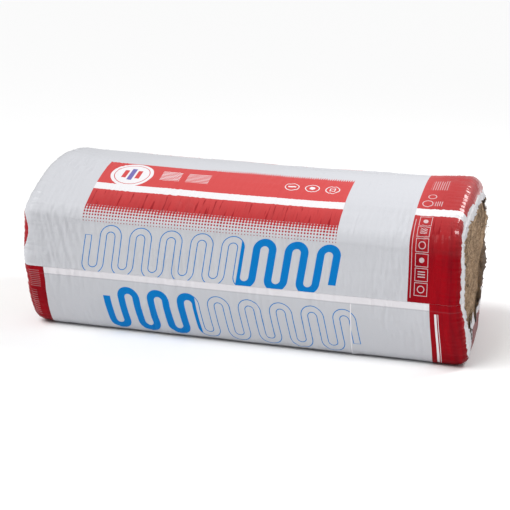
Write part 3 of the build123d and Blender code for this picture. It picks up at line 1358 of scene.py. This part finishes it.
@dataclass
class WoolSlab:
    """One squeezed slab, with a frayed face at each end."""

    number: int
    form: PackForm
    collars: tuple[Collar, Collar]
    count: int = 9
    inset: float = 8.0 * MM
    foot_lift: float = 0.030
    crown_droop: float = 0.090
    over: float = 0.345
    joint_round: float = 5.0 * MM
    sunk: float = 6.0 * MM
    bulge: float = 5.0 * MM
    lumps: float = 4.2 * MM
    flakes: float = 4.0 * MM
    nap: float = 0.9 * MM
    step: float = 1.2 * MM
    flake_slant: float = 0.72
    wobble: float = 2.2 * MM
    crest: float = 15.0 * MM
    crest_at: tuple[Span, Span] = ((0.25, 0.10), (0.29, 0.10))
    across: int = 220
    up: int = 22
    edge_crowding: float = 0.35
    joint_crowding: float = 0.09
    joint_gap: float = 0.15 * MM
    rings: tuple[float, ...] = (0.585, 0.4, 0.0, -0.4, -0.585)

    def layer(self, number: int, y: np.ndarray) -> np.ndarray:
        """The height of a joint between slabs, counted from 0 at the base."""
        share = number / self.count
        middle = self.form.height * share
        edge = self.foot_lift + (self.form.height - self.foot_lift - self.crown_droop) * share
        wobble = self.wobble * Unevenness(60 + number).layered(y / 0.09, 0 * y, 2)
        past = self.form.height * ((number == self.count) - (number == 0))
        return edge + (middle - edge) * (1 - (y / self.over) ** 2) + past + wobble

    def section(self) -> tuple[np.ndarray, np.ndarray]:
        """The slab's cross-section as a grid of y and z, from the bottom up."""
        widest = self.form.half_width - self.inset
        y = np.linspace(-widest, widest, 1500)
        low, high = self.limits(y)
        inside = np.flatnonzero(high - low > 0.6 * MM)
        edge = abs(y[inside[0]])
        even = np.linspace(-1, 1, self.across)
        y = edge * (even + self.edge_crowding * (np.sin(even * pi / 2) - even))
        low, high = self.limits(y)
        high = np.maximum(high, low + 0.2 * MM)
        share = np.linspace(0, 1, self.up)
        share = share - self.joint_crowding * np.sin(2 * pi * share)
        z = low + (high - low) * share[:, None]
        return np.repeat(y[None], self.up, 0), z

    def limits(self, y: np.ndarray) -> tuple[np.ndarray, np.ndarray]:
        """The slab's lower and upper surface across the pack."""
        low, high = self.form.inner_bounds(y, self.inset)
        bottom = np.maximum(low, self.layer(self.number - 1, y) + self.joint_gap)
        top = np.minimum(high, self.layer(self.number, y) - self.joint_gap)
        return bottom, top

    def end_face(self, collar: Collar, y: np.ndarray, z: np.ndarray) -> tuple[np.ndarray, np.ndarray]:
        """Shapes the frayed face.

        Args:
            collar: the film's gathered end round it.
            y: across the pack.
            z: height.

        Returns:
            How far out of the pack's middle each point lies, and how frayed it is.
        """
        radius = self.form.rim_radius
        depth, girth = self.form.nearest(y, z)
        bend = np.clip(depth, 0, radius)
        out = self.form.half_length - self.sunk - radius + np.sqrt(radius**2 - (radius - bend) ** 2)
        low, high = self.limits(y[:1])
        r = self.joint_round
        near_joint = np.clip(np.minimum(z - low, high - z), 0, r)
        out = out - 0.8 * (r - np.sqrt(r**2 - (r - near_joint) ** 2))
        open_to_air = smooth(depth - radius - collar.reach(self.form, girth), -0.006, 0.03)
        seed = 200 + 7 * collar.end.value
        frayed = self.lumps * Unevenness(seed).layered(y / 0.04, z / 0.03, 3)
        slant = z - self.flake_slant * y
        frayed += self.flakes * Unevenness(seed + 1).layered((y + z) / 0.07, slant / 0.018, 3)
        frayed += self.nap * Unevenness(seed + 2).layered(y / 0.008, z / 0.005, 2)
        frayed += self.step * Unevenness(seed + 3 + self.number).at(y / 0.3, z / 0.2)
        on_right = collar.end is End.RIGHT
        along_y, up_z = self.crest_at
        crest = on_right * self.crest * hump(y, *along_y) * hump(z, *up_z)
        held_back = 1 - on_right * 0.8 * smooth(y, 0.10, 0.24) * smooth(z, 0.29, 0.20)
        out = out + open_to_air * (self.bulge * held_back + crest + frayed * (0.4 + 0.6 * held_back))
        return out + (1 - open_to_air) * 0.3 * np.minimum(frayed, 0), open_to_air

    def build(self, finish: bpy.types.Material) -> list[FrayedFace]:
        """Makes the slab and hands it over.

        Args:
            finish: the wool.

        Returns:
            Its end faces, left and right.
        """
        y, z = self.section()
        ends = []
        for collar in self.collars:
            out, open_to_air = self.end_face(collar, y, z)
            points = self.form.settle(np.stack([collar.end.value * out, y, z], -1))
            ends.append(FrayedFace(collar.end, points, open_to_air))
        left, right = (face.points.reshape(-1, 3) for face in ends)
        grid = np.arange(y.size).reshape(y.shape)
        loop = np.concatenate([grid[0, :-1], grid[:-1, -1], grid[-1, :0:-1], grid[:0:-1, 0]])
        flat_y, flat_z = y.ravel()[loop], z.ravel()[loop]
        rings = [
            self.form.settle(np.stack([np.full(len(loop), x), flat_y, flat_z], -1)) for x in self.rings
        ]
        points = np.concatenate([right, left, *rings])
        faces = grid_faces(grid[:, ::-1]) + grid_faces(grid + y.size)
        chain = [loop]
        chain += [2 * y.size + i * len(loop) + np.arange(len(loop)) for i in range(len(rings))]
        chain.append(loop + y.size)
        wall = np.stack(chain)
        faces += grid_faces(np.concatenate([wall, wall[:, :1]], 1))
        piece = solid_from(f"wool_slab_{self.number}", points, faces, [finish])
        hand_over(piece, "mineral_wool", f"slab_{self.number}")
        return ends


@dataclass(frozen=True)
class LooseFibres:
    """Single fibres and strands that stand out of the frayed ends."""

    per_square_metre: float = 15000.0
    shortest: float = 0.010
    longest: float = 0.034
    thickness: float = 0.16 * MM
    seed: int = 11
    root: Triple = (0.0, 0.0, -0.03)
    knee: Triple = (0.55, 0.18, 0.22)
    tip: Triple = (1.0, -0.12, 0.16)
    least_turn: Triple = (-0.5, -0.45, -pi)
    most_turn: Triple = (0.5, 0.25, pi)
    sway: float = 9 * MM
    sway_scale: float = 110.0

    def ground(self, ends: list[FrayedFace]) -> bpy.types.Object:
        """The end faces as one thin mesh, to scatter the fibres on."""
        faces, start = [], 0
        for face in ends:
            size = face.open_to_air.size
            grid = start + np.arange(size).reshape(face.open_to_air.shape)
            faces += grid_faces(grid[:, ::-1] if face.end is End.RIGHT else grid)
            start += size
        points = np.concatenate([face.points.reshape(-1, 3) for face in ends])
        frayed = np.concatenate([face.open_to_air.ravel() for face in ends])
        ground = solid_from("fibre_ground", points, faces, [])
        spread = ground.data.attributes.new("frayed", "FLOAT", "POINT")
        spread.data.foreach_set("value", frayed.astype(np.float32))
        return ground

    def tree(self, finish: bpy.types.Material) -> bpy.types.NodeTree:
        """The node tree that scatters bent fibres over a surface.

        Args:
            finish: the fibres' material.

        Returns:
            The tree, with named inputs for its sizes.
        """
        tree = bpy.data.node_groups.new("scatter_fibres", "GeometryNodeTree")
        new_socket = tree.interface.new_socket
        new_socket("Geometry", in_out="INPUT", socket_type="NodeSocketGeometry")
        for name in ("Density", "Shortest", "Longest", "Thickness"):
            new_socket(name, in_out="INPUT", socket_type="NodeSocketFloat")
        new_socket("Seed", in_out="INPUT", socket_type="NodeSocketInt")
        new_socket("Geometry", in_out="OUTPUT", socket_type="NodeSocketGeometry")

        def node(kind: str, given: dict | None = None, **settings: object) -> bpy.types.Node:
            """Adds a node with its settings, and with what its inputs hold or are linked to."""
            made = tree.nodes.new(kind)
            for name, value in settings.items():
                setattr(made, name, value)
            for key, value in (given or {}).items():
                if isinstance(value, bpy.types.NodeSocket):
                    tree.links.new(value, made.inputs[key])
                else:
                    made.inputs[key].default_value = value
            return made

        def output(
            kind: str, given: dict, which: int | str = 0, **settings: object
        ) -> bpy.types.NodeSocket:
            """Adds a node and gives one of its outputs."""
            return node(kind, given, **settings).outputs[which]

        sizes = node("NodeGroupInput").outputs
        attribute = node("GeometryNodeInputNamedAttribute", {"Name": "frayed"}, data_type="FLOAT")
        frayed = attribute.outputs["Attribute"]
        density = output("ShaderNodeMath", {0: frayed, 1: sizes["Density"]}, operation="MULTIPLY")
        scatter = node(
            "GeometryNodeDistributePointsOnFaces",
            {"Mesh": sizes["Geometry"], "Density": density, "Seed": sizes["Seed"]},
        ).outputs

        fibre = output(
            "GeometryNodeCurveQuadraticBezier",
            {"Resolution": 6, "Start": self.root, "Middle": self.knee, "End": self.tip},
        )
        turns = {"Min": self.least_turn, "Max": self.most_turn}
        angles = output("FunctionNodeRandomValue", turns, "Value", data_type="FLOAT_VECTOR")
        lean = output("FunctionNodeEulerToRotation", {0: angles})
        turned = output(
            "FunctionNodeRotateRotation",
            {"Rotation": scatter["Rotation"], "Rotate By": lean},
            rotation_space="LOCAL",
        )
        lengths = {2: sizes["Shortest"], 3: sizes["Longest"]}
        length = output("FunctionNodeRandomValue", lengths, 1, data_type="FLOAT")
        placed = output(
            "GeometryNodeInstanceOnPoints",
            {"Points": scatter["Points"], "Instance": fibre, "Rotation": turned, "Scale": length},
        )
        loose = output("GeometryNodeRealizeInstances", {"Geometry": placed})

        clouds = output("ShaderNodeTexNoise", {"Scale": self.sway_scale}, "Color")
        centred = output("ShaderNodeVectorMath", {0: clouds, 1: (0.5, 0.5, 0.5)}, operation="SUBTRACT")
        along = output("GeometryNodeSplineParameter", {}, "Factor")
        reach = output("ShaderNodeMath", {0: along, 1: self.sway}, operation="MULTIPLY")
        sway = output("ShaderNodeVectorMath", {0: centred, "Scale": reach}, operation="SCALE")
        bent = output("GeometryNodeSetPosition", {"Geometry": loose, "Offset": sway})

        circle = {"Resolution": 3, "Radius": sizes["Thickness"]}
        profile = output("GeometryNodeCurvePrimitiveCircle", circle)
        swept = {"Curve": bent, "Profile Curve": profile, "Fill Caps": True}
        tube = output("GeometryNodeCurveToMesh", swept)
        whole = output("GeometryNodeRealizeInstances", {"Geometry": tube})
        painted = output("GeometryNodeSetMaterial", {"Geometry": whole, "Material": finish})
        node("NodeGroupOutput", {"Geometry": painted})
        return tree

    def build(self, ends: list[FrayedFace], finish: bpy.types.Material) -> None:
        """Scatters the fibres, keeps them as a plain mesh and hands it over.

        Args:
            ends: the slabs' end faces.
            finish: the fibres' material.
        """
        ground = self.ground(ends)
        modifier = ground.modifiers.new("fibres", "NODES")
        modifier.node_group = self.tree(finish)
        values = {
            "Density": self.per_square_metre,
            "Shortest": self.shortest,
            "Longest": self.longest,
            "Thickness": self.thickness,
            "Seed": self.seed,
        }
        for item in modifier.node_group.interface.items_tree:
            if item.in_out == "INPUT" and item.name in values:
                modifier[item.identifier] = values[item.name]
        shown = ground.evaluated_get(bpy.context.evaluated_depsgraph_get())
        mesh = bpy.data.meshes.new_from_object(shown)
        bpy.data.objects.remove(ground)
        mesh.name = "loose_fibres"
        hand_over(into_scene("loose_fibres", mesh), "mineral_wool")


@dataclass(frozen=True)
class Studio:
    """Plain pale floor, soft light from above, and the photograph's camera."""

    azimuth: float = 0.2663
    elevation: float = 0.2536
    roll: float = 0.0224
    distance: float = 3.807
    aim: Triple = (-0.0233, 0.0, 0.1885)
    lens: float = 91.8
    floor_half: float = 80.0
    floor_drop: float = 0.4 * MM
    sun_spread: float = 0.7
    sky_strength: float = 0.36

    def floor(self) -> None:
        """Lays a large floor just under the pack."""
        size = self.floor_half
        corners = np.array([(-size, -size), (size, -size), (size, size), (-size, size)])
        points = np.column_stack([corners, np.full(4, -self.floor_drop)])
        made = FinishTree("pale_floor")
        made.shader.inputs["Base Color"].default_value = (0.94, 0.94, 0.94, 1)
        made.set(roughness=0.9, specular_ior_level=0.1)
        solid_from("floor", points, [[0, 1, 2, 3]], [made.material])

    def light(self, name: str, place: Triple, aim: Triple, size: Pair, power: float) -> None:
        """Hangs one soft rectangular light.

        Args:
            name: its name.
            place: where it hangs.
            aim: what it shines at.
            size: its two sides.
            power: in watts.
        """
        lamp = bpy.data.lights.new(name, "AREA")
        lamp.shape = "RECTANGLE"
        lamp.size, lamp.size_y = size
        lamp.energy = power
        way = Vector(aim) - Vector(place)
        turn = way.to_track_quat("-Z", "Y").to_matrix().to_4x4()
        into_scene(name, lamp, Matrix.Translation(place) @ turn)

    def sun(self, name: str, towards: Triple, strength: float) -> None:
        """Adds broad, even light from one side of the sky.

        Args:
            name: its name.
            towards: the way to it.
            strength: its brightness.
        """
        lamp = bpy.data.lights.new(name, "SUN")
        lamp.energy = strength
        lamp.angle = self.sun_spread
        into_scene(name, lamp, Vector(towards).to_track_quat("Z", "Y").to_matrix().to_4x4())

    def camera(self) -> None:
        """Sets the camera where the photograph was taken from."""
        az, el, roll = self.azimuth, self.elevation, self.roll
        back = Vector((sin(az) * cos(el), -cos(az) * cos(el), sin(el)))
        right = Vector((cos(az), sin(az), 0))
        up = back.cross(right)
        rolled_right = right * cos(roll) + up * sin(roll)
        rolled_up = up * cos(roll) - right * sin(roll)
        data = bpy.data.cameras.new("camera")
        data.lens = self.lens
        data.sensor_width = 36.0
        turn = Matrix((rolled_right, rolled_up, back)).transposed().to_4x4()
        place = Matrix.Translation(Vector(self.aim) + self.distance * back)
        bpy.context.scene.camera = into_scene("camera", data, place @ turn)

    def build(self) -> None:
        """Sets up the whole studio."""
        self.floor()
        self.camera()
        self.light("rim_softbox", (1.6, 1.2, 2.2), (0.4, 0, 0.3), (1.0, 0.8), 34)
        self.sun("sky_light", (-0.60, -0.38, 1.04), 2.6)
        scene = bpy.context.scene
        world = bpy.data.worlds.new("studio")
        world.use_nodes = True
        background = world.node_tree.nodes["Background"]
        background.inputs["Color"].default_value = (1.0, 1.0, 1.0, 1)
        background.inputs["Strength"].default_value = self.sky_strength
        scene.world = world
        scene.view_settings.view_transform = "Standard"
        scene.view_settings.look = "None"


def film_webs(form: PackForm) -> tuple[FilmWeb, FilmWeb]:
    """Sets out the two webs and their gathered ends.

    Args:
        form: the pack's form.

    Returns:
        The upper web and the lower web.
    """
    right_tucks = (
        (0.00, 0.070, 0.045), (0.09, 0.018, 0.04), (0.24, 0.006, 0.05), (0.56, 0.010, 0.06),
        (0.74, 0.014, 0.10), (0.95, 0.012, 0.08), (1.22, 0.020, 0.09, 0.38),
        (1.45, 0.090, 0.09, 0.05), (1.62, 0.060, 0.08), (1.77, 0.070, 0.05),
    )
    left_tucks = (
        (0.10, 0.045, 0.07), (0.34, 0.018, 0.07), (0.62, 0.015, 0.06), (1.05, 0.022, 0.08, 0.1),
        (1.29, 0.050, 0.07), (1.60, 0.045, 0.10),
    )
    right = Collar(End.RIGHT, tuple(Tuck(*tuck) for tuck in right_tucks), seed=21, snug=0.75)
    left = Collar(End.LEFT, tuple(Tuck(*tuck) for tuck in left_tucks), seed=33, least_reach=0.036)
    relief = FilmRelief(form)
    lap_low, lap_high = form.girth_at(form.lap_low), form.girth_at(form.lap_high)
    apex, once = form.apex, form.girth_round
    base_width = 2 * (form.half_width - form.foot_inset)
    front, back, flat = 3.6 * MM, 6.0 * MM, 12.0 * MM
    upper_stops = (
        (lap_low, front), (lap_high, 2 * MM), (apex, front), (2 * apex - lap_low, back),
    )
    back_lap = 2 * apex - once
    lower_stops = (
        (back_lap - lap_high, back), (back_lap - lap_low, 3 * MM), (-base_width, back), (0.0, flat),
        (lap_low - 1.5 * MM, front), (lap_low + 1.5 * MM, 1.5 * MM), (lap_high, 3 * MM),
    )
    shared = form, relief, (left, right)
    upper = FilmWeb("upper_film_web", "upper_film", "upper_web", *shared, upper_stops)
    lower = FilmWeb("lower_film_web", "lower_film", "lower_web", *shared, lower_stops, 0.5 * MM)
    return upper, lower


def main() -> None:
    """Builds the pack, piece by piece."""
    logging.basicConfig(level=logging.INFO, format="%(name)s %(message)s")
    form = PackForm()
    inks = Inks()
    wool = WoolFinish().material()
    upper, lower = film_webs(form)
    ends = []
    for number in range(1, WoolSlab.count + 1):
        ends += WoolSlab(number, form, upper.collars).build(wool)
    LooseFibres().build(ends, wool)

    bare = BareFilm().material()
    upper.dress(UpperPrint(form, inks).material(), bare, ["wool_slab_9"])
    lower.dress(LowerPrint(form, inks).material(), bare, ["wool_slab_1", "upper_film_web"])
    Studio().build()


if __name__ == "__main__":
    main()
